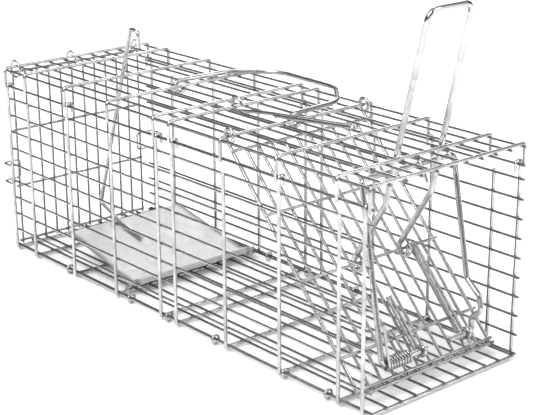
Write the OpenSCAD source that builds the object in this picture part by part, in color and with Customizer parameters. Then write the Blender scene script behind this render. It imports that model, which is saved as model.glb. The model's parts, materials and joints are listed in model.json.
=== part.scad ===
/* [Cage] */
// Height of one short mesh cell
short_pitch = 12.5; // [12.4:0.1:12.6]
// Length of one long mesh cell
long_pitch = 51; // [50.5:0.5:51.5]
// Length of the bay at each end of the cage
end_bay = 26; // [25.5:0.5:26.5]
// Length of the narrow bay at the middle of the cage
middle_bay = 16.5; // [16:0.5:17]
// Half of the distance between the two side panels
side_y = 62.5; // [62.4:0.1:62.6]
// Number of short cells up a side panel
side_cells = 9; // [9]

/* [Wire] */
// Thin wires that run the length of the cage
thin_d = 1.6; // [1.5:0.1:1.6]
// Thick wires that run across and up the cage
thick_d = 2.4; // [2.3:0.1:2.4]
// Depth to which crossing wires are welded into each other
weld = 0.25; // [0.2:0.05:0.3]
// Wire of the rings that tie the panels together
ring_d = 1.6; // [1.4:0.1:1.6]

/* [Front door] */
// Slope of the closed door below the horizontal
door_slope = 47.5; // [47:0.5:48]
// Length of the door from its hinge axis
door_length = 175; // [174:0.5:176]
// Distance of the door wires below the hinge axis
door_drop = 4; // [3.8:0.1:4.2]
// Half of the distance between the outer door rods
door_half = 56.5; // [56:0.5:56.5]
// Wire of the door grid
door_d = 2; // [1.9:0.1:2.1]

/* [Lock bail and set handle] */
// Wire of the lock bail
bail_d = 3.6; // [3.4:0.1:3.6]
// Wire of the set handle
set_d = 3.8; // [3.6:0.1:3.8]
// Wire of the bail spring
spring_wire = 1.8; // [1.6:0.1:1.8]
// Turns of the bail spring
spring_turns = 8.5; // [7.5:1:9.5]

/* [Trigger and arm] */
// Thickness of the bait plate
plate_t = 0.9; // [0.8:0.1:1]
// Length of the bait plate
plate_length = 83; // [80:1:84]
// Half of the width of the bait plate
plate_half = 50; // [48:1:51]
// Tilt of the bait plate when it is raised
plate_tilt = 11.5; // [11:0.5:11.5]
// Wire of the trigger rod
trigger_d = 3; // [2.8:0.1:3]
// Wire of the hold-down arm
arm_d = 2.6; // [2.4:0.1:2.6]
// Reach of the hold-down arm from its pivot
arm_reach = 112; // [110:1:112]
// Wire of the carry handle
carry_d = 3.4; // [3.2:0.1:3.4]

/* [Hidden] */
$fn = 24;

// Distance between the centre lines of two welded wires
thick_thin = (thick_d + thin_d) / 2 - weld;

// Places of the cross wires along the cage, from the rear end to the front
bays = [end_bay, long_pitch, long_pitch, long_pitch, middle_bay,
        long_pitch, long_pitch, long_pitch, end_bay];
cage_length = bays * [1, 1, 1, 1, 1, 1, 1, 1, 1];
cross_x = [for (i = 0, x = -cage_length / 2; i <= len(bays); x = x + (i < len(bays) ? bays[i] : 0), i = i + 1) x];
wire_overhang = 2;

// Heights, from the feet of the rings upward
ring_r = 2.8;
ring_x = [cross_x[2] - 6.5, cross_x[3] + 17, 0, cross_x[6] - 10.5, cross_x[7] + 5.6, cross_x[8] - 7.8];
floor_z = ring_r + ring_d / 2;
floor_half = side_y - 1.8;
side_z = floor_z + 0.5;
side_top = side_z + side_cells * short_pitch;
rim_z = side_top + 8.9;
rim_y = side_y - 0.45;
roof_z = rim_z + 11.5;
roof_cross_z = roof_z + thick_thin;
roof_half = side_y - 0.5;
roof_pitch = roof_half / 5;
hook_shift = 3;
hook_r = 2.2;

// Front door frame: u runs down the door, n points out of its front
hinge = [cross_x[6], 0, roof_cross_z];
door_u = [cos(door_slope), 0, -sin(door_slope)];
door_n = [sin(door_slope), 0, cos(door_slope)];
bar_lift = door_d - weld;
bar_places = [9.3, 54, 99.1, 149.9, 171, 174];
door_wires = 12;
pull_bar = 99.1;
pin_place = 163.5;
pin_lift = 6.3;
bracket_lift = 3.15;
bracket_half = 1.5;

// Lock bail: its pins lie along Y in front of the door
bail_pin = door_point(pin_place, 0, pin_lift);
bail_bar_x = 145;
bail_bar_z = 125.5;
bail_low_y = [-36, 42];
bail_high_y = [-29, 49];
bail_pin_end = [2, 21];
bracket_y = [-3, 36.5];

// Set handle
handle_leg_y = [-8.9, 30];
handle_top_y = [-7.4, 27.8];
handle_knee = [144.7, 105.5];
handle_top = [174, 225];

// Bait plate, turning on an axle at its front edge
axle_d = 2.4;
axle_at = [-53, 0, 8.8];
curl_d = 4.6;
bore_gap = 0.05;
rod_y = -9.3;

// Hold-down arm
arm_start = 9;
arm_rise = 5.4;
arm_eye_y = -8.3;
arm_mid_y = -9.3;
arm_eye_r = 4.6;

// Carry handle
carry_z = 142;
carry_eye_r = 4.2;

// Bends: a knuckle covers the gap left between a straight wire and its bend
knuckle_rise = 0.03;
knuckle_gap = 0.1;
small_turn = 12;

function unit(v) = v / norm(v);
function door_point(along, y, lift) =
    hinge + along * door_u + (lift - door_drop) * door_n + [0, y, 0];

// Straight wire between two points
module rod(a, b, d) {
    v = b - a;
    translate(a)
        rotate([0, acos(v.z / norm(v)), atan2(v.y, v.x)])
            cylinder(h = norm(v), d = d);
}

// Bent wire: starts at c + r * x and leaves along y, turning by the given angle
module arc(c, x, y, r, angle, d) {
    z = cross(x, y);
    multmatrix([
        [x.x, y.x, z.x, c.x],
        [x.y, y.y, z.y, c.y],
        [x.z, y.z, z.z, c.z],
        [0, 0, 0, 1]
    ])
        rotate_extrude(angle = angle)
            translate([r, 0])
                circle(d = d);
}

// Wires meet their bends inside a knuckle, a hair thicker than the wire
module knuckle(p, along, d) {
    translate(p)
        rotate([0, acos(along.z / norm(along)), atan2(along.y, along.x)])
            rotate([0, 0, 37])
                sphere(d = d + 2 * knuckle_rise);
}

// Bend that carries on from the end of a straight wire
module curl(c, x, y, r, angle, d) {
    skip = knuckle_gap / r * 180 / PI;
    knuckle(c + r * x, y, d);
    arc(c, cos(skip) * x + sin(skip) * y, cos(skip) * y - sin(skip) * x, r, angle - skip, d);
}

// Bend angle at point i of a wire, and the length its straight parts give up there
function turn(p, i) = acos(min(1, unit(p[i] - p[i - 1]) * unit(p[i + 1] - p[i])));
function trim(p, i, r, d) =
    i == 0 || i == len(p) - 1 ? 0
    : turn(p, i) < small_turn ? d / 2 * tan(turn(p, i) / 2) + knuckle_gap / 2
    : r * tan(turn(p, i) / 2) + knuckle_gap;

// Wire through the points p, with every real corner bent to radius r
module wire(p, d, r) {
    for (i = [0 : len(p) - 2]) {
        along = unit(p[i + 1] - p[i]);
        rod(p[i] + trim(p, i, r, d) * along, p[i + 1] - trim(p, i + 1, r, d) * along, d);
    }
    if (len(p) > 2)
        for (i = [1 : len(p) - 2])
            if (turn(p, i) < small_turn)
                knuckle(p[i], p[i + 1] - p[i - 1], d);
            else {
                come = unit(p[i] - p[i - 1]);
                leave = unit(p[i + 1] - p[i]);
                inward = unit(leave - (come * leave) * come);
                start = p[i] - r * tan(turn(p, i) / 2) * come;
                skip = knuckle_gap / r * 180 / PI;
                curl(start + r * inward, -inward, come, r, turn(p, i) - skip, d);
                knuckle(p[i] + r * tan(turn(p, i) / 2) * leave, leave, d);
            }
}

// Closed ring about the Y axis or, turned, about the X axis
module ring(c, r, d, about_x = false) {
    translate(c)
        rotate(about_x ? [0, 90, 0] : [90, 0, 0])
            rotate_extrude()
                translate([r, 0])
                    circle(d = d);
}

module long_wires(count, half, z) {
    for (i = [0 : count - 1]) {
        y = -half + 2 * half * i / (count - 1);
        rod([cross_x[0] - wire_overhang, y, z], [cross_x[9] + wire_overhang, y, z], thin_d);
    }
}

module floor_panel() {
    color("silver") {
        long_wires(11, floor_half, floor_z);
        for (x = cross_x)
            rod([x, -floor_half - 1.5, floor_z - thick_thin], [x, floor_half + 1.5, floor_z - thick_thin], thick_d);
    }
}

// Side panel: uprights that meet a bay edge of the roof are hooked over its rim
module side_panel(side) {
    upright_y = side * (side_y + thick_thin);
    color("silver") {
        for (i = [0 : side_cells]) {
            z = side_z + i * short_pitch;
            rod([cross_x[0] - wire_overhang, side * side_y, z],
                [cross_x[9] + wire_overhang, side * side_y, z], thin_d);
        }
        for (i = [0 : 9]) {
            hooked = len(search(i, [0, 2, 4, 5, 7, 9])) > 0;
            x = cross_x[i] + (i == 9 ? -hook_shift : hook_shift);
            foot = [x, upright_y, side_z - 1.3];
            if (hooked) {
                rod(foot, [x, upright_y, rim_z], thick_d);
                arc([x, side * (abs(upright_y) - hook_r), rim_z], [0, side, 0], [0, 0, 1],
                    hook_r, 180, thick_d);
                tail_y = side * (abs(upright_y) - 2 * hook_r);
                rod([x, tail_y, rim_z - 4], [x, tail_y, rim_z], thick_d);
            } else
                rod(foot, [x, upright_y, side_top + 1.3], thick_d);
        }
    }
}
module side_panel_left() { side_panel(-1); }
module side_panel_right() { side_panel(1); }

// Roof: cross wires bend down at both sides to a rim wire
module top_panel() {
    edge_y = rim_y + thick_thin;
    color("silver") {
        long_wires(11, roof_half, roof_z);
        long_wires(2, rim_y, rim_z);
        for (x = cross_x)
            wire([[x, -edge_y, rim_z - 1.3], [x, -edge_y, roof_cross_z],
                  [x, edge_y, roof_cross_z], [x, edge_y, rim_z - 1.3]], thick_d, 3);
    }
}

module floor_rings(side) {
    color("gainsboro")
        for (x = ring_x)
            ring([x, side * (side_y - 0.9), floor_z], ring_r, ring_d, true);
}
module floor_rings_left() { floor_rings(-1); }
module floor_rings_right() { floor_rings(1); }

// Two small hooks under the roof, in front of the lock bail
module bail_keepers() {
    keeper_d = 1.8;
    z = roof_z - (thin_d + keeper_d) / 2 + weld;
    color("gainsboro")
        for (y = [0, 2 * roof_pitch])
            wire([[cross_x[8] - 13, y, z], [cross_x[8] + 3, y, z], [cross_x[8] + 8, y, z - 12]], keeper_d, 7);
}

module plate_axle() {
    foot_y = plate_half + 4.6;
    color("gainsboro") {
        rod([axle_at.x, -foot_y - 1.5, axle_at.z], [axle_at.x, foot_y + 1.5, axle_at.z], axle_d);
        for (y = [-foot_y, foot_y])
            rod([axle_at.x, y, axle_at.z], [cross_x[3] + 1, y, floor_z - thick_thin + 1.6], axle_d);
    }
}

// Rear release door, hung by rings from the rear edge of the roof
rear_x = cross_x[0] - wire_overhang - 1.25;
rear_half = 55.5;
rear_bar_d = 2.2;
rear_bar_x = rear_x - (thin_d + rear_bar_d) / 2 + weld;
rear_top_z = roof_cross_z - 5.05;
module rear_panel() {
    color("silver") {
        for (i = [0 : 11]) {
            y = -rear_half + 2 * rear_half * i / 11;
            rod([rear_x, y, floor_z - 1], [rear_x, y, rear_top_z + 1.2], thin_d);
        }
        for (z = [floor_z + 0.6, floor_z + 43.5, floor_z + 86.5, rear_top_z])
            rod([rear_bar_x, -rear_half - 2, z], [rear_bar_x, rear_half + 2, z], rear_bar_d);
    }
}
module rear_hinge_rings() {
    color("gainsboro")
        for (y = [-53.5, -5.4, 53.5])
            ring([(cross_x[0] + rear_bar_x) / 2, y, (roof_cross_z + rear_top_z) / 2], 5.9, ring_d);
}
// Latch: a staple on the edge of the rear door that grips the cage's rear upright
module rear_latch(side) {
    bar_x = rear_x - (thin_d + ring_d) / 2 + weld;
    grip_x = cross_x[0] + hook_shift + 2;
    bar_y = side * (rear_half - 2);
    grip_y = side * (side_y + 4.9);
    low = side_z + 4 * short_pitch - 0.4;
    high = low + 13.6;
    color("gainsboro")
        wire([
            [grip_x, grip_y, low],
            [bar_x, grip_y, low],
            [bar_x, bar_y, low],
            [bar_x, bar_y, high],
            [bar_x, grip_y, high],
            [grip_x, grip_y, high]
        ], ring_d, 3);
}
module rear_latch_left() { rear_latch(-1); }
module rear_latch_right() { rear_latch(1); }

module door_grid() {
    color("silver") {
        for (i = [1 : door_wires - 2]) {
            y = -door_half + 2 * door_half * i / (door_wires - 1);
            rod(door_point(8, y, 0), door_point(door_length, y, 0), door_d);
        }
        for (r = bar_places)
            rod(door_point(r, -door_half - 1.4, bar_lift), door_point(r, door_half + 1.4, bar_lift), door_d);
    }
}
// Outer door rod, ending in an eye round the hinge wire
module door_side_rod(side) {
    y = side * door_half;
    color("gainsboro") {
        rod(door_point(0, y, 0), door_point(door_length, y, 0), thick_d);
        curl(hinge + [0, y, 0], -door_n, -door_u, door_drop, 290, thick_d);
    }
}
module door_side_rod_left() { door_side_rod(-1); }
module door_side_rod_right() { door_side_rod(1); }

// Twin strand on the door with an eye for a pin of the lock bail
module bail_bracket(y, start) {
    color("gainsboro") {
        for (s = [-bracket_half, bracket_half])
            rod(door_point(start, y + s, bracket_lift), door_point(pin_place + 3, y + s, bracket_lift), door_d);
        rod(door_point(start + 1.2, y - bracket_half, bracket_lift),
            door_point(start + 1.2, y + bracket_half, bracket_lift), thin_d);
        ring([bail_pin.x, y, bail_pin.z], (bail_d + door_d) / 2 + 0.35, door_d);
    }
}
module bail_bracket_left() { bail_bracket(bracket_y[0], pull_bar + 26); }
module bail_bracket_right() { bail_bracket(bracket_y[1], pull_bar - 1.5); }

// Lock bail: its right leg has a bulge that clears the pin
module lock_bail() {
    pin = [bail_pin.x, bail_pin.z];
    up = [bail_bar_x, bail_bar_z] - pin;
    out = [-up.y, up.x] / norm(up) * -1;
    function leg(f, y, push) = let (p = pin + f * up + push * out) [p.x, y, p.y];
    function right_y(f) = bail_low_y[1] + f * (bail_high_y[1] - bail_low_y[1]);
    color("gainsboro")
        wire([
            [pin.x, bail_pin_end[0], pin.y],
            [pin.x, bail_low_y[0], pin.y],
            leg(1, bail_high_y[0], 0),
            leg(1, bail_high_y[1], 0),
            leg(0.3, right_y(0.3), 0),
            leg(0.2, right_y(0.2), 9),
            leg(0.12, right_y(0.12), 9),
            leg(0.075, bail_low_y[1], 0.5),
            leg(0, bail_low_y[1], 0),
            [pin.x, bail_pin_end[1], pin.y]
        ], bail_d, 3.4);
}

// Torsion spring on the left pin: one arm on the bail, one on the door
coil_r = 3.4;
coil_y = [-33.2, -14];
spring_steps = 14;
function spring_point(i) =
    let (turns = i / spring_steps, a = -360 * turns)
    [bail_pin.x + coil_r * cos(a), coil_y[0] + (coil_y[1] - coil_y[0]) * turns / spring_turns,
     bail_pin.z + coil_r * sin(a)];
spring_path = [for (i = [0 : spring_steps * spring_turns]) spring_point(i)];
module bail_spring() {
    sides = 8;
    n = len(spring_path);
    start_arm = spring_path[0] + [-5.5, 0, 24];
    end_arm = spring_path[n - 1] - 16 * door_u;
    path = concat([start_arm], spring_path, [end_arm]);
    m = len(path);
    function tangent(i) = unit(path[min(i + 1, m - 1)] - path[max(i - 1, 0)]);
    function side_dir(i) = unit(cross(tangent(i), [0, 1, 0.001]));
    function rim(i, k) =
        let (t = tangent(i), s = side_dir(i), b = cross(t, s))
        path[i] + spring_wire / 2 * (cos(360 * k / sides) * s + sin(360 * k / sides) * b);
    points = [for (i = [0 : m - 1], k = [0 : sides - 1]) rim(i, k)];
    walls = [for (i = [0 : m - 2], k = [0 : sides - 1])
        let (a = i * sides + k, b = i * sides + (k + 1) % sides)
        each [[a, a + sides, b], [b, a + sides, b + sides]]];
    caps = [[for (k = [0 : sides - 1]) k], [for (k = [sides - 1 : -1 : 0]) (m - 1) * sides + k]];
    color("gainsboro")
        polyhedron(points = points, faces = concat(walls, caps), convexity = 10);
}

// Set handle: a tall loop whose ends hook round the pull bar of the door
module set_handle() {
    bar = door_point(pull_bar, 0, bar_lift);
    hook_at = [bar.x - 1, bar.z - 0.6];
    r = 4.4;
    to_knee = handle_knee - hook_at;
    touch = atan2(to_knee.y, to_knee.x) + acos(r / norm(to_knee));
    start = hook_at + r * [cos(touch), sin(touch)];
    hook_turn = 260;
    color("gainsboro") {
        wire([
            [start.x, handle_leg_y[0], start.y],
            [handle_knee.x, handle_leg_y[0], handle_knee.y],
            [handle_top.x, handle_top_y[0], handle_top.y],
            [handle_top.x, handle_top_y[1], handle_top.y],
            [handle_knee.x, handle_leg_y[1], handle_knee.y],
            [start.x, handle_leg_y[1], start.y]
        ], set_d, 7);
        for (y = handle_leg_y) {
            curl([hook_at.x, y, hook_at.y], [cos(touch), 0, sin(touch)],
                [-sin(touch), 0, cos(touch)], r, hook_turn, set_d);
        }
    }
}

// Bait plate: a sheet with a rolled front edge that turns on the axle
module bait_plate() {
    bore = axle_d + 2 * bore_gap;
    color("lightgray")
        translate(axle_at)
            rotate([0, plate_tilt, 0])
                difference() {
                    union() {
                        translate([-plate_length, -plate_half, -curl_d / 2])
                            cube([plate_length, 2 * plate_half, plate_t]);
                        translate([0, plate_half, 0])
                            rotate([90, 0, 0])
                                cylinder(h = 2 * plate_half, d = curl_d);
                    }
                    translate([0, plate_half + 1, 0])
                        rotate([90, 0, 0])
                            cylinder(h = 2 * plate_half + 2, d = bore);
                }
}

// Trigger rod: welded to the plate, with a hook above the roof
module trigger_rod() {
    lift = -curl_d / 2 + plate_t + trigger_d / 2 - weld;
    function on_plate(back) =
        [axle_at.x - back * cos(plate_tilt) + lift * sin(plate_tilt), rod_y,
         axle_at.z + back * sin(plate_tilt) + lift * cos(plate_tilt)];
    color("gainsboro")
        wire([
            [-97.5, rod_y, 160.5],
            [-97.5, rod_y, 172],
            [-106.5, rod_y, 172],
            [-152.6, rod_y, 34],
            on_plate(plate_length - 8),
            on_plate(plate_length - 33)
        ], trigger_d, 3.4);
}

// Hold-down arm: a long hairpin with an eye round the roof wire at mid cage
module hold_down_arm() {
    eye_at = [cross_x[5], roof_cross_z + 1.7];
    dir = [cos(arm_start), sin(arm_start)];
    down = [sin(arm_start), -cos(arm_start)];
    rise = [cos(arm_rise), sin(arm_rise)];
    half_gap = arm_d / 2 + 0.4;
    foot = eye_at + arm_eye_r * down;
    elbow = foot + 22 * dir;
    function shank(far, y) = let (p = elbow + far * rise) [p.x, y, p.y];
    far_end = arm_reach - 25;
    color("gainsboro") {
        curl([eye_at.x, arm_eye_y, eye_at.y], [down.x, 0, down.y], [-dir.x, 0, -dir.y],
            arm_eye_r, 290, arm_d);
        wire([
            [foot.x, arm_eye_y, foot.y],
            shank(0, arm_eye_y),
            shank(11, arm_mid_y + half_gap),
            shank(far_end - knuckle_gap, arm_mid_y + half_gap)
        ], arm_d, 1.5);
        curl(shank(far_end, arm_mid_y), [0, 1, 0], [rise.x, 0, rise.y], half_gap, 178, arm_d);
        knuckle(shank(far_end, arm_mid_y - half_gap), [rise.x, 0, rise.y], arm_d);
        rod(shank(far_end - knuckle_gap, arm_mid_y - half_gap), shank(18, arm_mid_y - half_gap), arm_d);
    }
}

// Carry handle: a flat bow whose ends curl round the middle roof wire
module carry_handle() {
    eye_x = [cross_x[3] - 3.7, cross_x[6] - 4];
    color("gainsboro") {
        wire([
            [eye_x[0], 0, carry_z],
            [eye_x[0] + 2, 40, carry_z],
            [eye_x[0] + 26, 67, carry_z],
            [eye_x[1] - 32, 65, carry_z],
            [eye_x[1] - 3, 40, carry_z],
            [eye_x[1], 0, carry_z]
        ], carry_d, 24);
        for (x = eye_x)
            curl([x, 0, carry_z - carry_eye_r], [0, 0, 1], [0, -1, 0], carry_eye_r, 275, carry_d);
    }
}

floor_panel();
side_panel_left();
side_panel_right();
top_panel();
floor_rings_left();
floor_rings_right();
bail_keepers();
plate_axle();
rear_panel();
rear_hinge_rings();
rear_latch_left();
rear_latch_right();
door_grid();
door_side_rod_left();
door_side_rod_right();
bail_bracket_left();
bail_bracket_right();
lock_bail();
bail_spring();
set_handle();
bait_plate();
trigger_rod();
hold_down_arm();
carry_handle();
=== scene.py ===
"""Finishes, weld beads, spring and studio stage for the wire mesh live catch trap."""

import json
import math

import bmesh
import bpy
from mathutils import Matrix, Quaternion, Vector


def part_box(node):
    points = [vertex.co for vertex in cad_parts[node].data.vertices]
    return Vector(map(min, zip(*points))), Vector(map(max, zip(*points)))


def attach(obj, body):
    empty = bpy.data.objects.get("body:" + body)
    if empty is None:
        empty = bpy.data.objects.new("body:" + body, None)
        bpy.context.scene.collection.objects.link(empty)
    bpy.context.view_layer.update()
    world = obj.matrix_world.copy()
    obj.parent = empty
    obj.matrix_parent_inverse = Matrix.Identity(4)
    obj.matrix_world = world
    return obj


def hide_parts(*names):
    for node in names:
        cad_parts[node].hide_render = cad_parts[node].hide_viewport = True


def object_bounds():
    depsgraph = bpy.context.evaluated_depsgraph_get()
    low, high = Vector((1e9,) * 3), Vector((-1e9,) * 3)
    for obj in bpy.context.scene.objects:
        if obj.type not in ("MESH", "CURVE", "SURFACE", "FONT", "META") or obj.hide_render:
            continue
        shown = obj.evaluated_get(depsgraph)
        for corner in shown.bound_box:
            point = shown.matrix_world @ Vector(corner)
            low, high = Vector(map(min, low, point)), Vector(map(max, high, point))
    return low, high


bl_info = {
    "name": "Live Catch Trap",
    "version": (1, 0, 0),
    "blender": (4, 5, 0),
    "location": "View3D > Sidebar > Trap",
    "description": "Builds the finishes, weld beads, spring and stage of a wire mesh live catch trap",
    "category": "Object",
}

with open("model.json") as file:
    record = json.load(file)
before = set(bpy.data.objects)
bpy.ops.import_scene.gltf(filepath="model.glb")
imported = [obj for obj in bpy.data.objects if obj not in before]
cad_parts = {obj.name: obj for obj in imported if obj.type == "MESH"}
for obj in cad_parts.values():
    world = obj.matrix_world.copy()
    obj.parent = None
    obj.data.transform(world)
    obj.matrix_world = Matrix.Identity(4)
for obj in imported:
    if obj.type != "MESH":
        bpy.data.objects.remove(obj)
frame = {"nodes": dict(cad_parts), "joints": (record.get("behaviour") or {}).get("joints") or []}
CAD_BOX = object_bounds()
JOINTS = {j["name"]: j for j in frame["joints"]}


def joint_place(name):
    """Point on a joint's axis at rest."""
    return Vector(JOINTS[name]["pos_m"])


# ---------------------------------------------------------------- properties


class TrapFinish(bpy.types.PropertyGroup):
    """Colours and roughness of the zinc-plated wire and sheet."""

    bright_zinc: bpy.props.FloatVectorProperty(
        name="Bright Zinc", description="Plating where it is clean", subtype="COLOR",
        size=3, min=0.0, max=1.0, default=(0.6, 0.605, 0.615))
    dull_zinc: bpy.props.FloatVectorProperty(
        name="Dull Zinc", description="Plating where it has gone flat and grey", subtype="COLOR",
        size=3, min=0.0, max=1.0, default=(0.4, 0.405, 0.415))
    # Darker tone of the thin inner mesh wires: painted shade that stands in for the dark reflections these
    # wires show.
    shaded_thin_wire: bpy.props.FloatVectorProperty(
        name="Thin Wire", description="The darker, thinner wires of the mesh", subtype="COLOR",
        size=3, min=0.0, max=1.0, default=(0.27, 0.272, 0.28))
    grime: bpy.props.FloatVectorProperty(
        name="Grime", description="Dirt in corners and flux round the welds", subtype="COLOR",
        size=3, min=0.0, max=1.0, default=(0.13, 0.12, 0.11))
    sheet: bpy.props.FloatVectorProperty(
        name="Sheet", description="Galvanised sheet of the bait plate", subtype="COLOR",
        size=3, min=0.0, max=1.0, default=(0.5, 0.505, 0.51))
    wire_roughness: bpy.props.FloatProperty(
        name="Wire Roughness", description="Mean roughness of the plated wire",
        min=0.05, max=1.0, default=0.17, subtype="FACTOR")


class TrapWelds(bpy.types.PropertyGroup):
    """Size of the weld beads where wires cross."""

    bead_length: bpy.props.FloatProperty(
        name="Bead Length", description="Half length of a bead along the thin wire",
        min=0.0005, max=0.003, default=0.0013, unit="LENGTH")
    bead_height: bpy.props.FloatProperty(
        name="Bead Height", description="Half height of a bead between the two wires",
        min=0.0003, max=0.002, default=0.0007, unit="LENGTH")


class TrapSpring(bpy.types.PropertyGroup):
    """Torsion spring of the lock bail."""

    wire: bpy.props.FloatProperty(
        name="Spring Wire", description="Diameter of the spring's wire",
        min=0.001, max=0.0025, default=0.0018, unit="LENGTH")
    coil_radius: bpy.props.FloatProperty(
        name="Coil Radius", description="From the pin's axis to the middle of the wire",
        min=0.003, max=0.004, default=0.0034, unit="LENGTH")
    bail_arm: bpy.props.FloatVectorProperty(
        name="Bail Arm", description="From the coil to the end of the arm on the bail",
        size=3, default=(-0.0055, 0.0, 0.024), subtype="TRANSLATION", unit="LENGTH")
    door_arm: bpy.props.FloatProperty(
        name="Door Arm", description="Length of the arm that lies along the door",
        min=0.008, max=0.02, default=0.016, unit="LENGTH")
    door_slope: bpy.props.FloatProperty(
        name="Door Slope", description="Angle of the closed door below the horizontal",
        default=math.radians(47.5), subtype="ANGLE")
    half_turns: bpy.props.IntProperty(
        name="Half Turns", description="Half turns of the coil", min=15, max=19, default=17)


class TrapStage(bpy.types.PropertyGroup):
    """Camera and light."""

    azimuth: bpy.props.FloatProperty(
        name="Azimuth", description="Camera direction, turned from looking along +Y",
        default=math.radians(49.43), subtype="ANGLE")
    elevation: bpy.props.FloatProperty(
        name="Elevation", description="Camera height above the horizon",
        default=math.radians(18.66), subtype="ANGLE")
    roll: bpy.props.FloatProperty(
        name="Roll", description="Camera roll", default=math.radians(-0.37), subtype="ANGLE")
    distance: bpy.props.FloatProperty(
        name="Distance", description="From the aim point to the camera",
        min=0.1, default=0.97, unit="LENGTH")
    aim: bpy.props.FloatVectorProperty(
        name="Aim", description="Point the camera looks at, from the middle of the object's base",
        size=3, default=(0.0146, 0.0138, 0.0654), subtype="TRANSLATION", unit="LENGTH")
    lens: bpy.props.FloatProperty(
        name="Lens", description="Focal length in millimetres", min=10.0, default=97.6)
    key_power: bpy.props.FloatProperty(
        name="Key Power", description="Power of the main soft light in watts", min=0.0, default=26.0)
    fill_power: bpy.props.FloatProperty(
        name="Fill Power", description="Power of the fill light in watts", min=0.0, default=9.0)
    surround: bpy.props.FloatProperty(
        name="Surround", description="Brightness of the surrounding studio", min=0.0, default=1.0)


# ---------------------------------------------------------------- node helpers


class NodeDesk:
    """Short ways to add and join nodes in one tree."""

    def __init__(self, tree):
        self.tree = tree

    def add(self, kind, label="", **settings):
        node = self.tree.nodes.new(kind)
        node.label = label
        for key, value in settings.items():
            setattr(node, key, value)
        return node

    def link(self, out, into):
        self.tree.links.new(out, into)

    def feed(self, value, socket):
        """Links a socket or sets a constant."""
        if isinstance(value, bpy.types.NodeSocket):
            self.link(value, socket)
        else:
            socket.default_value = value

    def math(self, operation, a, b=0.0, c=None, clamp=False):
        node = self.add("ShaderNodeMath", operation=operation, use_clamp=clamp)
        self.feed(a, node.inputs[0])
        self.feed(b, node.inputs[1])
        if c is not None:
            self.feed(c, node.inputs[2])
        return node.outputs[0]

    def span(self, value, low, high, to_low=0.0, to_high=1.0, smooth=False):
        node = self.add("ShaderNodeMapRange")
        node.interpolation_type = "SMOOTHSTEP" if smooth else "LINEAR"
        self.feed(value, node.inputs["Value"])
        self.feed(low, node.inputs["From Min"])
        self.feed(high, node.inputs["From Max"])
        self.feed(to_low, node.inputs["To Min"])
        self.feed(to_high, node.inputs["To Max"])
        return node.outputs["Result"]

    def noise(self, vector, scale, detail=3.0, rough=0.55):
        node = self.add("ShaderNodeTexNoise")
        self.feed(vector, node.inputs["Vector"])
        self.feed(scale, node.inputs["Scale"])
        node.inputs["Detail"].default_value = detail
        node.inputs["Roughness"].default_value = rough
        return node.outputs["Fac"]

    def cells(self, vector, scale, feature="F1", output="Distance"):
        node = self.add("ShaderNodeTexVoronoi", feature=feature)
        self.feed(vector, node.inputs["Vector"])
        self.feed(scale, node.inputs["Scale"])
        return node.outputs[output]

    def stretch(self, vector, factors):
        node = self.add("ShaderNodeVectorMath", operation="MULTIPLY")
        self.link(vector, node.inputs[0])
        node.inputs[1].default_value = factors
        return node.outputs[0]

    def mix(self, factor, a, b):
        node = self.add("ShaderNodeMix", data_type="RGBA")
        self.feed(factor, node.inputs[0])
        self.feed(a, node.inputs[6])
        self.feed(b, node.inputs[7])
        return node.outputs[2]

    def place(self):
        return self.add("ShaderNodeTexCoord").outputs["Object"]


def new_group(name, inputs, outputs):
    """Empty shader node group with the named sockets."""
    group = bpy.data.node_groups.new(name, "ShaderNodeTree")
    for label, kind, default in inputs:
        socket = group.interface.new_socket(name=label, in_out="INPUT", socket_type=kind)
        if default is not None:
            socket.default_value = default
    for label, kind in outputs:
        group.interface.new_socket(name=label, in_out="OUTPUT", socket_type=kind)
    desk = NodeDesk(group)
    entry = desk.add("NodeGroupInput")
    exit_node = desk.add("NodeGroupOutput")
    return group, desk, entry.outputs, exit_node.inputs


def plating_group():
    """Zinc plating: clouded tone, fine grain and dark specks."""
    name = "Zinc Plating"
    if name in bpy.data.node_groups:
        return bpy.data.node_groups[name]
    group, desk, given, out = new_group(name, [
        ("Clean", "NodeSocketColor", (0.7, 0.7, 0.7, 1.0)),
        ("Flat", "NodeSocketColor", (0.4, 0.4, 0.4, 1.0)),
        ("Dirt", "NodeSocketColor", (0.1, 0.1, 0.1, 1.0)),
        ("Cloud Scale", "NodeSocketFloat", 90.0),
        ("Speck Amount", "NodeSocketFloat", 0.3),
        ("Roughness", "NodeSocketFloat", 0.3),
    ], [("Color", "NodeSocketColor"), ("Roughness", "NodeSocketFloat"), ("Height", "NodeSocketFloat")])
    place = desk.place()
    clouds = desk.noise(place, given["Cloud Scale"], 4.0, 0.6)
    clouds = desk.span(clouds, 0.36, 0.66, smooth=True)
    grain = desk.noise(place, 1400.0, 2.0, 0.6)
    runs = desk.noise(place, 420.0, 3.0, 0.65)
    specks = desk.cells(place, 620.0)
    keep = desk.noise(place, 130.0, 2.0)
    dots = desk.math("MULTIPLY", desk.span(specks, 0.0, 0.34, 1.0, 0.0, True),
                     desk.span(keep, 0.5, 0.62, 0.0, 1.0, True))
    dots = desk.math("MULTIPLY", dots, given["Speck Amount"])
    tone = desk.mix(clouds, given["Clean"], given["Flat"])
    tone = desk.mix(desk.span(runs, 0.42, 0.75, 0.0, 0.28), tone, given["Flat"])
    tone = desk.mix(dots, tone, given["Dirt"])
    desk.link(tone, out["Color"])
    rough = desk.math("MULTIPLY_ADD", clouds, 0.1, given["Roughness"])
    rough = desk.math("MULTIPLY_ADD", grain, 0.05, rough)
    rough = desk.math("MULTIPLY_ADD", dots, 0.35, rough, clamp=True)
    desk.link(rough, out["Roughness"])
    height = desk.math("MULTIPLY_ADD", grain, 0.35, desk.math("MULTIPLY", runs, 0.65))
    height = desk.math("MULTIPLY_ADD", dots, -0.5, height)
    desk.link(height, out["Height"])
    return group


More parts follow.
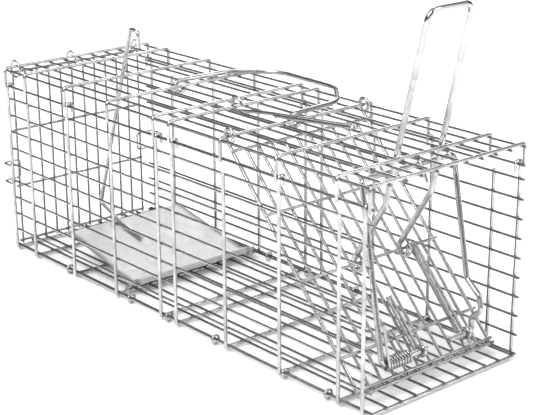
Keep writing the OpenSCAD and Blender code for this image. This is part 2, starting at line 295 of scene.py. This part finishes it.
def sorting_group():
    """Mask of the wires that lie beyond a plane, so that thick wires take the lit tone and thin wires the
    painted shade.
    """
    name = "Wire Sorting"
    if name in bpy.data.node_groups:
        return bpy.data.node_groups[name]
    group, desk, given, out = new_group(name, [
        ("Axis", "NodeSocketVector", (0.0, 0.0, 1.0)),
        ("Split", "NodeSocketFloat", 0.0),
    ], [("Mask", "NodeSocketFloat")])
    mirror = desk.add("ShaderNodeVectorMath", operation="ABSOLUTE")
    desk.link(desk.place(), mirror.inputs[0])
    reach = desk.add("ShaderNodeVectorMath", operation="DOT_PRODUCT")
    desk.link(mirror.outputs[0], reach.inputs[0])
    desk.link(given["Axis"], reach.inputs[1])
    past = desk.math("SUBTRACT", reach.outputs["Value"], given["Split"])
    desk.link(desk.span(past, -0.00004, 0.00004), out["Mask"])
    return group


def handling_group():
    """Polished patch where hands hold a rod, broken up by fine scratches."""
    name = "Hand Polish"
    if name in bpy.data.node_groups:
        return bpy.data.node_groups[name]
    group, desk, given, out = new_group(name, [
        ("Centre", "NodeSocketVector", (0.0, 0.0, 0.0)),
        ("Reach", "NodeSocketFloat", 0.05),
    ], [("Mask", "NodeSocketFloat"), ("Scratches", "NodeSocketFloat")])
    place = desk.place()
    gap = desk.add("ShaderNodeVectorMath", operation="DISTANCE")
    desk.link(place, gap.inputs[0])
    desk.link(given["Centre"], gap.inputs[1])
    share = desk.math("DIVIDE", gap.outputs["Value"], given["Reach"])
    share = desk.math("MULTIPLY_ADD", desk.noise(place, 160.0), 0.5, share)
    desk.link(desk.span(share, 0.7, 1.25, 1.0, 0.0, True), out["Mask"])
    lines = desk.noise(desk.stretch(place, (180.0, 2600.0, 700.0)), 1.0, 1.0)
    desk.link(desk.span(lines, 0.62, 0.68, 0.0, 1.0), out["Scratches"])
    return group


def spangle_group():
    """Hot-dip spangle, rolling scratches and a grimy rim for sheet metal."""
    name = "Sheet Spangle"
    if name in bpy.data.node_groups:
        return bpy.data.node_groups[name]
    group, desk, given, out = new_group(name, [
        ("Base", "NodeSocketColor", (0.6, 0.6, 0.6, 1.0)),
        ("Dirt", "NodeSocketColor", (0.1, 0.1, 0.1, 1.0)),
        ("Half Width", "NodeSocketFloat", 0.05),
    ], [("Color", "NodeSocketColor"), ("Roughness", "NodeSocketFloat"), ("Height", "NodeSocketFloat")])
    place = desk.place()
    tint = desk.add("ShaderNodeTexVoronoi", feature="F1")
    tint.inputs["Scale"].default_value = 190.0
    desk.link(place, tint.inputs["Vector"])
    grey = desk.add("ShaderNodeSeparateColor")
    desk.link(tint.outputs["Color"], grey.inputs[0])
    flake = grey.outputs[0]
    clouds = desk.noise(place, 38.0, 4.0, 0.6)
    scratch = desk.noise(desk.stretch(place, (60.0, 3200.0, 60.0)), 1.0, 2.0)
    scratch = desk.span(scratch, 0.63, 0.7)
    scuff = desk.noise(desk.stretch(place, (1900.0, 130.0, 130.0)), 1.0, 2.0)
    scuff = desk.span(scuff, 0.66, 0.72)
    split = desk.add("ShaderNodeSeparateXYZ")
    desk.link(place, split.inputs[0])
    edge = desk.math("DIVIDE", desk.math("ABSOLUTE", split.outputs["Y"]), given["Half Width"])
    edge = desk.math("MULTIPLY_ADD", clouds, 0.12, edge)
    rim = desk.span(edge, 0.97, 1.06, 0.0, 0.55, True)
    lift = desk.span(flake, 0.0, 1.0, 0.88, 1.08)
    lift = desk.math("MULTIPLY_ADD", clouds, 0.1, lift)
    bright = desk.add("ShaderNodeVectorMath", operation="SCALE")
    desk.link(given["Base"], bright.inputs[0])
    desk.link(lift, bright.inputs["Scale"])
    tone = desk.mix(rim, bright.outputs[0], given["Dirt"])
    spots = desk.math("MULTIPLY", desk.span(desk.cells(place, 150.0), 0.05, 0.16, 1.0, 0.0, True),
                      desk.span(desk.noise(place, 60.0, 2.0), 0.55, 0.65))
    tone = desk.mix(desk.math("MULTIPLY", spots, 0.5), tone, given["Dirt"])
    desk.link(tone, out["Color"])
    rough = desk.span(flake, 0.0, 1.0, 0.38, 0.52)
    rough = desk.math("MULTIPLY_ADD", clouds, 0.12, rough)
    rough = desk.math("MULTIPLY_ADD", scratch, -0.12, rough)
    rough = desk.math("MULTIPLY_ADD", rim, 0.3, rough, clamp=True)
    desk.link(rough, out["Roughness"])
    height = desk.math("MULTIPLY_ADD", scratch, -0.4, desk.math("MULTIPLY", flake, 0.12))
    height = desk.math("MULTIPLY_ADD", scuff, -0.3, height)
    height = desk.math("MULTIPLY_ADD", clouds, 0.8, height)
    desk.link(height, out["Height"])
    return group


def new_metal(name, bump=0.13, reach=0.0004):
    """Metal material with its Principled shader and a Bump node."""
    old = bpy.data.materials.get(name)
    if old:
        bpy.data.materials.remove(old)
    material = bpy.data.materials.new(name)
    material.use_nodes = True
    desk = NodeDesk(material.node_tree)
    shader = material.node_tree.nodes["Principled BSDF"]
    shader.inputs["Metallic"].default_value = 1.0
    bump_node = desk.add("ShaderNodeBump")
    bump_node.inputs["Strength"].default_value = bump
    bump_node.inputs["Distance"].default_value = reach
    desk.link(bump_node.outputs["Normal"], shader.inputs["Normal"])
    return material, desk, shader, bump_node


def place_group(desk, group, **values):
    """Puts a node group in a material and sets or links its inputs."""
    node = desk.add("ShaderNodeGroup", label=group.name)
    node.node_tree = group
    for key, value in values.items():
        socket = node.inputs[key.replace("_", " ")]
        desk.feed(value, socket)
    return node


def rgba(colour):
    return (colour[0], colour[1], colour[2], 1.0)


def blend_colours(a, b, share):
    return tuple(x + (y - x) * share for x, y in zip(a, b))


def plated_metal(name, clean, flat, finish, cloud=90.0, specks=0.3, rough=0.0, polish=None):
    """Plated wire or rod in one tone, with an optional polished patch."""
    material, desk, shader, bump = new_metal(name)
    plating = place_group(
        desk, plating_group(), Clean=rgba(clean), Flat=rgba(flat), Dirt=rgba(finish.grime),
        Cloud_Scale=cloud, Speck_Amount=specks, Roughness=finish.wire_roughness + rough)
    colour, roughness = plating.outputs["Color"], plating.outputs["Roughness"]
    if polish:
        wear = place_group(desk, handling_group(), Centre=polish[0], Reach=polish[1])
        colour = desk.mix(desk.math("MULTIPLY", wear.outputs["Mask"], 0.55), colour,
                          rgba(finish.bright_zinc))
        roughness = desk.math("MULTIPLY_ADD", wear.outputs["Mask"], -0.1, roughness)
        roughness = desk.math("MULTIPLY_ADD", wear.outputs["Scratches"], 0.12, roughness, clamp=True)
    desk.link(colour, shader.inputs["Base Color"])
    desk.link(roughness, shader.inputs["Roughness"])
    desk.link(plating.outputs["Height"], bump.inputs["Height"])
    return material


def panel_metal(name, finish, planes):
    """Mesh panel: thick wires bright, thin wires dark with painted shade; planes are (axis, split) pairs."""
    material, desk, shader, bump = new_metal(name)
    thick = place_group(
        desk, plating_group(), Clean=rgba(finish.bright_zinc), Flat=rgba(finish.dull_zinc),
        Dirt=rgba(finish.grime), Cloud_Scale=70.0, Speck_Amount=0.35,
        Roughness=finish.wire_roughness)
    # Thin wires: a darker copy of the plating, painted shade for their dark reflections.
    thin = place_group(
        desk, plating_group(), Clean=rgba(finish.shaded_thin_wire),
        Flat=rgba(blend_colours(finish.shaded_thin_wire, finish.grime, 0.55)), Dirt=rgba(finish.grime),
        Cloud_Scale=110.0, Speck_Amount=0.3, Roughness=finish.wire_roughness + 0.03)
    lit_wire_mask = 0.0
    for axis, split in planes:
        found = place_group(desk, sorting_group(), Axis=axis, Split=split).outputs["Mask"]
        lit_wire_mask = desk.math("MAXIMUM", lit_wire_mask, found)
    desk.link(desk.mix(lit_wire_mask, thin.outputs["Color"], thick.outputs["Color"]), shader.inputs["Base Color"])
    rough = desk.math("MULTIPLY", lit_wire_mask, thick.outputs["Roughness"])
    rest = desk.math("SUBTRACT", 1.0, lit_wire_mask)
    desk.link(desk.math("MULTIPLY_ADD", rest, thin.outputs["Roughness"], rough), shader.inputs["Roughness"])
    desk.link(thick.outputs["Height"], bump.inputs["Height"])
    return material


def dress(node_name, material):
    """Gives a CAD node its finished material."""
    data = frame["nodes"][node_name].data
    data.materials.clear()
    data.materials.append(material)
    for face in data.polygons:
        face.material_index = 0


def add_piece(name, mesh, body, material):
    """Links a finished mesh as a piece that rides on a CAD body."""
    for face in mesh.polygons:
        face.use_smooth = True
    mesh.materials.append(material)
    piece = bpy.data.objects.new(name, mesh)
    bpy.context.collection.objects.link(piece)
    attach(piece, body)
    return piece


# ---------------------------------------------------------------- wire places


def wire_levels(node_name, axis, gap, across=None):
    """Centres of the parallel wires of a CAD node along one axis, found from gaps between its points."""
    points = frame["nodes"][node_name].data.vertices
    values = sorted(v.co[axis] for v in points if across is None or across(v.co))
    groups = [[values[0], values[0]]]
    for value in values[1:]:
        if value - groups[-1][1] > gap:
            groups.append([value, value])
        groups[-1][1] = value
    return [(low + high) / 2 for low, high in groups]


def bead_mesh(name, places, length, height, along, normal):
    """Small flattened beads at every place, long along one direction and thin along the normal."""
    along = Vector(along).normalized()
    normal = Vector(normal).normalized()
    side = normal.cross(along)
    turn = Matrix((along, side, normal)).transposed()
    mesh = bpy.data.meshes.new(name)
    shape = bmesh.new()
    for index, place in enumerate(places):
        vary = 1.0 + 0.12 * math.sin(index * 2.399)
        stretch = Matrix.Diagonal((length * vary, length * 0.92, height, 1.0))
        where = Matrix.Translation(place) @ turn.to_4x4() @ stretch
        bmesh.ops.create_uvsphere(shape, u_segments=10, v_segments=6, radius=1.0, matrix=where)
    shape.to_mesh(mesh)
    shape.free()
    return mesh


# ---------------------------------------------------------------- operators


class TRAP_OT_mesh_panels(bpy.types.Operator):
    """Finishes the floor, sides, roof, rear door and door grid"""

    bl_idname = "trap.mesh_panels"
    bl_label = "Mesh Panels"

    def execute(self, context):
        finish = context.scene.trap_finish
        _, side_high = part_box("side_panel_right")
        floor_low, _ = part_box("floor_panel")
        _, roof_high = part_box("top_panel")
        thick = 0.0024
        side = panel_metal("Side Mesh", finish, [
            ((0, 1, 0), side_high.y - thick + 0.00015), ((0, 0, 1), side_high.z - 0.0115)])
        floor = panel_metal("Floor Mesh", finish, [((0, 0, -1), -(floor_low.z + thick - 0.00012))])
        roof = panel_metal("Roof Mesh", finish, [
            ((0, 0, 1), roof_high.z - thick + 0.00012), ((0, 1, 0), roof_high.y - thick + 0.0003)])
        rear_low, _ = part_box("rear_panel")
        rear = panel_metal("Rear Mesh", finish, [((1, 0, 0), abs(rear_low.x) - 0.0022 + 0.00012)])
        dress("side_panel_left", side)
        dress("side_panel_right", side)
        dress("floor_panel", floor)
        dress("top_panel", roof)
        dress("rear_panel", rear)
        dress("door_grid", plated_metal(
            "Door Mesh", blend_colours(finish.dull_zinc, finish.bright_zinc, 0.45),
            blend_colours(finish.dull_zinc, finish.shaded_thin_wire, 0.6), finish, cloud=120.0, specks=0.4))
        return {"FINISHED"}


class TRAP_OT_formed_wires(bpy.types.Operator):
    """Finishes the rings, hooks, latches, brackets, door rods and arm"""

    bl_idname = "trap.formed_wires"
    bl_label = "Formed Wires"

    def execute(self, context):
        finish = context.scene.trap_finish
        small = plated_metal("Small Wire", blend_colours(finish.bright_zinc, finish.dull_zinc, 0.3),
                             finish.dull_zinc, finish, cloud=160.0, specks=0.4)
        for name in ("floor_rings_left", "floor_rings_right", "bail_keepers", "plate_axle",
                     "rear_hinge_rings", "rear_latch_left", "rear_latch_right"):
            dress(name, small)
        formed = plated_metal("Formed Wire", finish.bright_zinc, finish.dull_zinc, finish,
                              cloud=100.0, specks=0.35)
        for name in ("door_side_rod_left", "door_side_rod_right", "bail_bracket_left",
                     "bail_bracket_right", "hold_down_arm"):
            dress(name, formed)
        return {"FINISHED"}


class TRAP_OT_heavy_rods(bpy.types.Operator):
    """Finishes the lock bail, set handle, trigger rod and carry handle"""

    bl_idname = "trap.heavy_rods"
    bl_label = "Heavy Rods"

    def execute(self, context):
        finish = context.scene.trap_finish
        _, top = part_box("set_handle")
        low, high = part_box("carry_handle")
        grip = Vector(((low.x + high.x) / 2, high.y, high.z))
        dress("set_handle", plated_metal(
            "Set Handle Rod", finish.bright_zinc, finish.dull_zinc, finish, cloud=60.0, specks=0.25,
            polish=((top.x, top.y / 2, top.z), 0.045)))
        dress("carry_handle", plated_metal(
            "Carry Handle Rod", finish.bright_zinc, finish.dull_zinc, finish, cloud=60.0, specks=0.25,
            polish=(tuple(grip), 0.05)))
        dress("lock_bail", plated_metal(
            "Lock Bail Rod", finish.bright_zinc, finish.dull_zinc, finish, cloud=75.0, specks=0.35))
        dress("trigger_rod", plated_metal(
            "Trigger Rod", finish.bright_zinc, finish.dull_zinc, finish, cloud=80.0, specks=0.3))
        return {"FINISHED"}


class TRAP_OT_bait_plate(bpy.types.Operator):
    """Finishes the galvanised bait plate"""

    bl_idname = "trap.bait_plate"
    bl_label = "Bait Plate"

    def execute(self, context):
        finish = context.scene.trap_finish
        _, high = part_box("bait_plate")
        material, desk, shader, bump = new_metal("Plate Sheet", bump=0.3, reach=0.0006)
        sheet = place_group(desk, spangle_group(), Base=rgba(finish.sheet), Dirt=rgba(finish.grime),
                            Half_Width=high.y)
        shader.inputs["Metallic"].default_value = 0.85
        desk.link(sheet.outputs["Color"], shader.inputs["Base Color"])
        desk.link(sheet.outputs["Roughness"], shader.inputs["Roughness"])
        desk.link(sheet.outputs["Height"], bump.inputs["Height"])
        dress("bait_plate", material)
        return {"FINISHED"}


class TRAP_OT_weld_beads(bpy.types.Operator):
    """Adds the weld beads where the mesh wires cross"""

    bl_idname = "trap.weld_beads"
    bl_label = "Weld Beads"

    def execute(self, context):
        finish = context.scene.trap_finish
        weld = context.scene.trap_welds
        metal = plated_metal("Weld Bead", blend_colours(finish.dull_zinc, finish.grime, 0.35),
                             finish.grime, finish, cloud=300.0, specks=0.5, rough=0.15)
        size = (weld.bead_length, weld.bead_height)
        floor_low, floor_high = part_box("floor_panel")
        seam = floor_low.z + 0.0024 - 0.0002
        across = wire_levels("floor_panel", 0, 0.001, lambda p: p.z < floor_low.z + 0.0006)
        long_y = wire_levels("floor_panel", 1, 0.001, lambda p: p.z > floor_high.z - 0.0003)
        add_piece("floor_weld_beads", bead_mesh(
            "floor_weld_beads", [Vector((x, y, seam)) for x in across for y in long_y],
            *size, (1, 0, 0), (0, 0, 1)), "cage", metal)
        for side, node_name in ((-1, "side_panel_left"), (1, "side_panel_right")):
            low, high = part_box(node_name)
            outer = high.y if side > 0 else -low.y
            uprights = wire_levels(
                node_name, 0, 0.001, lambda p: abs(p.y) > outer - 0.0006 and p.z < 0.02)
            rows = wire_levels(node_name, 2, 0.001, lambda p: p.x > high.x - 0.0008)
            seam = side * (outer - 0.0024 + 0.0002)
            add_piece(node_name + "_weld_beads", bead_mesh(
                node_name + "_weld_beads", [Vector((x, seam, z)) for x in uprights for z in rows],
                *size, (1, 0, 0), (0, 1, 0)), "cage", metal)
        _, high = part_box("top_panel")
        seam = high.z - 0.0024 + 0.0002
        across = wire_levels("top_panel", 0, 0.001, lambda p: p.z > high.z - 0.0006)
        long_y = wire_levels("top_panel", 1, 0.001, lambda p: p.x > high.x - 0.0008 and p.z > high.z - 0.004)
        add_piece("top_weld_beads", bead_mesh(
            "top_weld_beads", [Vector((x, y, seam)) for x in across for y in long_y[1:-1]],
            *size, (1, 0, 0), (0, 0, 1)), "cage", metal)
        low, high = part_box("rear_panel")
        seam = low.x + 0.0022 - 0.0002
        rows = wire_levels("rear_panel", 2, 0.001, lambda p: p.x < low.x + 0.0006)
        long_y = wire_levels("rear_panel", 1, 0.001, lambda p: p.x > high.x - 0.0006)
        add_piece("rear_weld_beads", bead_mesh(
            "rear_weld_beads", [Vector((seam, y, z)) for y in long_y for z in rows],
            *size, (0, 0, 1), (1, 0, 0)), "rear_door", metal)
        return {"FINISHED"}


class TRAP_OT_bail_spring(bpy.types.Operator):
    """Winds the round-wire torsion spring of the lock bail"""

    bl_idname = "trap.bail_spring"
    bl_label = "Bail Spring"

    def execute(self, context):
        finish = context.scene.trap_finish
        spring = context.scene.trap_spring
        pin = joint_place("bail_fold")
        low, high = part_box("bail_spring")
        coil_low = low.y + spring.wire / 2
        coil_high = high.y - spring.wire / 2
        steps = 12
        count = steps * spring.half_turns
        path = []
        for i in range(count + 1):
            angle = -math.pi * i / steps
            y = coil_low + (coil_high - coil_low) * i / count
            path.append(Vector((pin.x + spring.coil_radius * math.cos(angle), y,
                pin.z + spring.coil_radius * math.sin(angle))))
        door_dir = Vector((math.cos(spring.door_slope), 0, -math.sin(spring.door_slope)))
        path.insert(0, path[0] + Vector(spring.bail_arm))
        path.append(path[-1] - door_dir * spring.door_arm)
        curve = bpy.data.curves.new("bail_spring_coil", "CURVE")
        curve.dimensions = "3D"
        curve.bevel_depth = spring.wire / 2
        curve.bevel_resolution = 4
        curve.use_fill_caps = True
        line = curve.splines.new("POLY")
        line.points.add(len(path) - 1)
        for point, place in zip(line.points, path):
            point.co = (*place, 1.0)
        draft = bpy.data.objects.new("bail_spring_draft", curve)
        bpy.context.collection.objects.link(draft)
        bpy.context.view_layer.update()
        mesh = bpy.data.meshes.new_from_object(draft)
        mesh.name = "bail_spring_coil"
        bpy.data.objects.remove(draft)
        metal = plated_metal("Spring Wire", blend_colours(finish.bright_zinc, finish.dull_zinc, 0.4),
                             finish.dull_zinc, finish, cloud=220.0, specks=0.3)
        mesh.materials.clear()
        piece = add_piece("bail_spring_coil", mesh, "front_door", metal)
        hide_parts("bail_spring")
        return {"FINISHED"}


class TRAP_OT_stage(bpy.types.Operator):
    """Sets the pale floor, the soft lights and the camera"""

    bl_idname = "trap.stage"
    bl_label = "Stage"

    def execute(self, context):
        stage = context.scene.trap_stage
        low, high = CAD_BOX
        floor_mesh = bpy.data.meshes.new("studio_floor")
        shape = bmesh.new()
        bmesh.ops.create_grid(shape, x_segments=2, y_segments=2, size=6.0)
        shape.to_mesh(floor_mesh)
        shape.free()
        paper = bpy.data.materials.new("Studio Paper")
        paper.use_nodes = True
        desk = NodeDesk(paper.node_tree)
        shader = paper.node_tree.nodes["Principled BSDF"]
        shader.inputs["Roughness"].default_value = 0.85
        grain = desk.span(desk.noise(desk.place(), 3.0, 2.0), 0.3, 0.7)
        desk.link(desk.mix(grain, (0.9, 0.9, 0.9, 1.0), (0.92, 0.92, 0.92, 1.0)), shader.inputs["Base Color"])
        floor_mesh.materials.append(paper)
        floor = bpy.data.objects.new("studio_floor", floor_mesh)
        floor.location = (0, 0, low.z - 0.0002)
        bpy.context.collection.objects.link(floor)

        world = bpy.data.worlds.new("Studio")
        world.use_nodes = True
        desk = NodeDesk(world.node_tree)
        background = world.node_tree.nodes["Background"]
        ray = desk.add("ShaderNodeLightPath")
        direction = desk.add("ShaderNodeTexCoord").outputs["Generated"]
        split = desk.add("ShaderNodeSeparateXYZ")
        desk.link(direction, split.inputs[0])
        # Reflections see a bright ceiling, a dark horizon and upright dark cards round the table
        ceiling = desk.span(split.outputs["Z"], 0.2, 0.85, 0.12, 1.0, True)
        around = desk.math("ARCTAN2", split.outputs["Y"], split.outputs["X"])
        cards = desk.math("SINE", desk.math("MULTIPLY_ADD", around, 3.0, 0.9))
        cards = desk.span(cards, -0.1, 0.6, 0.25, 1.0, True)
        studio = desk.math("MULTIPLY", ceiling, cards)
        studio = desk.mix(studio, (0.04, 0.042, 0.046, 1.0), (1.0, 1.0, 1.0, 1.0))
        seen = desk.mix(ray.outputs["Is Glossy Ray"], (1.0, 1.0, 1.0, 1.0), studio)
        desk.link(seen, background.inputs["Color"])
        background.inputs["Strength"].default_value = stage.surround
        context.scene.world = world

        centre = (low + high) / 2
        for name, place, power, size in (
                ("key_light", (0.2, -1.1, 1.3), stage.key_power, 0.9),
                ("fill_light", (1.3, 0.6, 0.8), stage.fill_power, 1.1),
                ("back_light", (-0.9, 1.0, 1.1), stage.fill_power, 0.9)):
            data = bpy.data.lights.new(name, "AREA")
            data.energy = power
            data.size = size
            lamp = bpy.data.objects.new(name, data)
            lamp.location = Vector(place)
            lamp.rotation_mode = "QUATERNION"
            lamp.rotation_quaternion = (centre - lamp.location).to_track_quat("-Z", "Y")
            bpy.context.collection.objects.link(lamp)

        back = Vector((math.sin(stage.azimuth) * math.cos(stage.elevation),
                       -math.cos(stage.azimuth) * math.cos(stage.elevation),
                       math.sin(stage.elevation)))
        base = Vector(((low.x + high.x) / 2, (low.y + high.y) / 2, low.z))
        camera_data = bpy.data.cameras.new("camera")
        camera_data.lens = stage.lens
        camera_data.sensor_width = 36.0
        camera_data.clip_start = 0.05
        camera_data.clip_end = 30.0
        camera = bpy.data.objects.new("camera", camera_data)
        camera.location = base + Vector(stage.aim) + back * stage.distance
        camera.rotation_mode = "QUATERNION"
        look = (-back).to_track_quat("-Z", "Y")
        camera.rotation_quaternion = look @ Quaternion((0, 0, 1), stage.roll)
        bpy.context.collection.objects.link(camera)
        context.scene.camera = camera
        context.scene.view_settings.view_transform = "Standard"
        return {"FINISHED"}


OPERATORS = (
    TRAP_OT_mesh_panels,
    TRAP_OT_formed_wires,
    TRAP_OT_heavy_rods,
    TRAP_OT_bait_plate,
    TRAP_OT_weld_beads,
    TRAP_OT_bail_spring,
    TRAP_OT_stage,
)


class TRAP_PT_build(bpy.types.Panel):
    """Lists the trap's build steps and settings"""

    bl_idname = "TRAP_PT_build"
    bl_label = "Live Catch Trap"
    bl_space_type = "VIEW_3D"
    bl_region_type = "UI"
    bl_category = "Trap"

    def draw(self, context):
        layout = self.layout
        for operator in OPERATORS:
            layout.operator(operator.bl_idname)
        for group in (context.scene.trap_finish, context.scene.trap_welds,
                      context.scene.trap_spring, context.scene.trap_stage):
            box = layout.box()
            for name in group.bl_rna.properties.keys():
                if name not in ("rna_type", "name"):
                    box.prop(group, name)


CLASSES = (TrapFinish, TrapWelds, TrapSpring, TrapStage, *OPERATORS, TRAP_PT_build)


def register():
    for cls in CLASSES:
        bpy.utils.register_class(cls)
    bpy.types.Scene.trap_finish = bpy.props.PointerProperty(type=TrapFinish)
    bpy.types.Scene.trap_welds = bpy.props.PointerProperty(type=TrapWelds)
    bpy.types.Scene.trap_spring = bpy.props.PointerProperty(type=TrapSpring)
    bpy.types.Scene.trap_stage = bpy.props.PointerProperty(type=TrapStage)


def unregister():
    del bpy.types.Scene.trap_stage
    del bpy.types.Scene.trap_spring
    del bpy.types.Scene.trap_welds
    del bpy.types.Scene.trap_finish
    for cls in reversed(CLASSES):
        bpy.utils.unregister_class(cls)


def main():
    """Registers the add-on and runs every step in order."""
    register()
    bpy.ops.trap.mesh_panels()
    bpy.ops.trap.formed_wires()
    bpy.ops.trap.heavy_rods()
    bpy.ops.trap.bait_plate()
    bpy.ops.trap.weld_beads()
    bpy.ops.trap.bail_spring()
    bpy.ops.trap.stage()


if __name__ == "__main__":
    main()
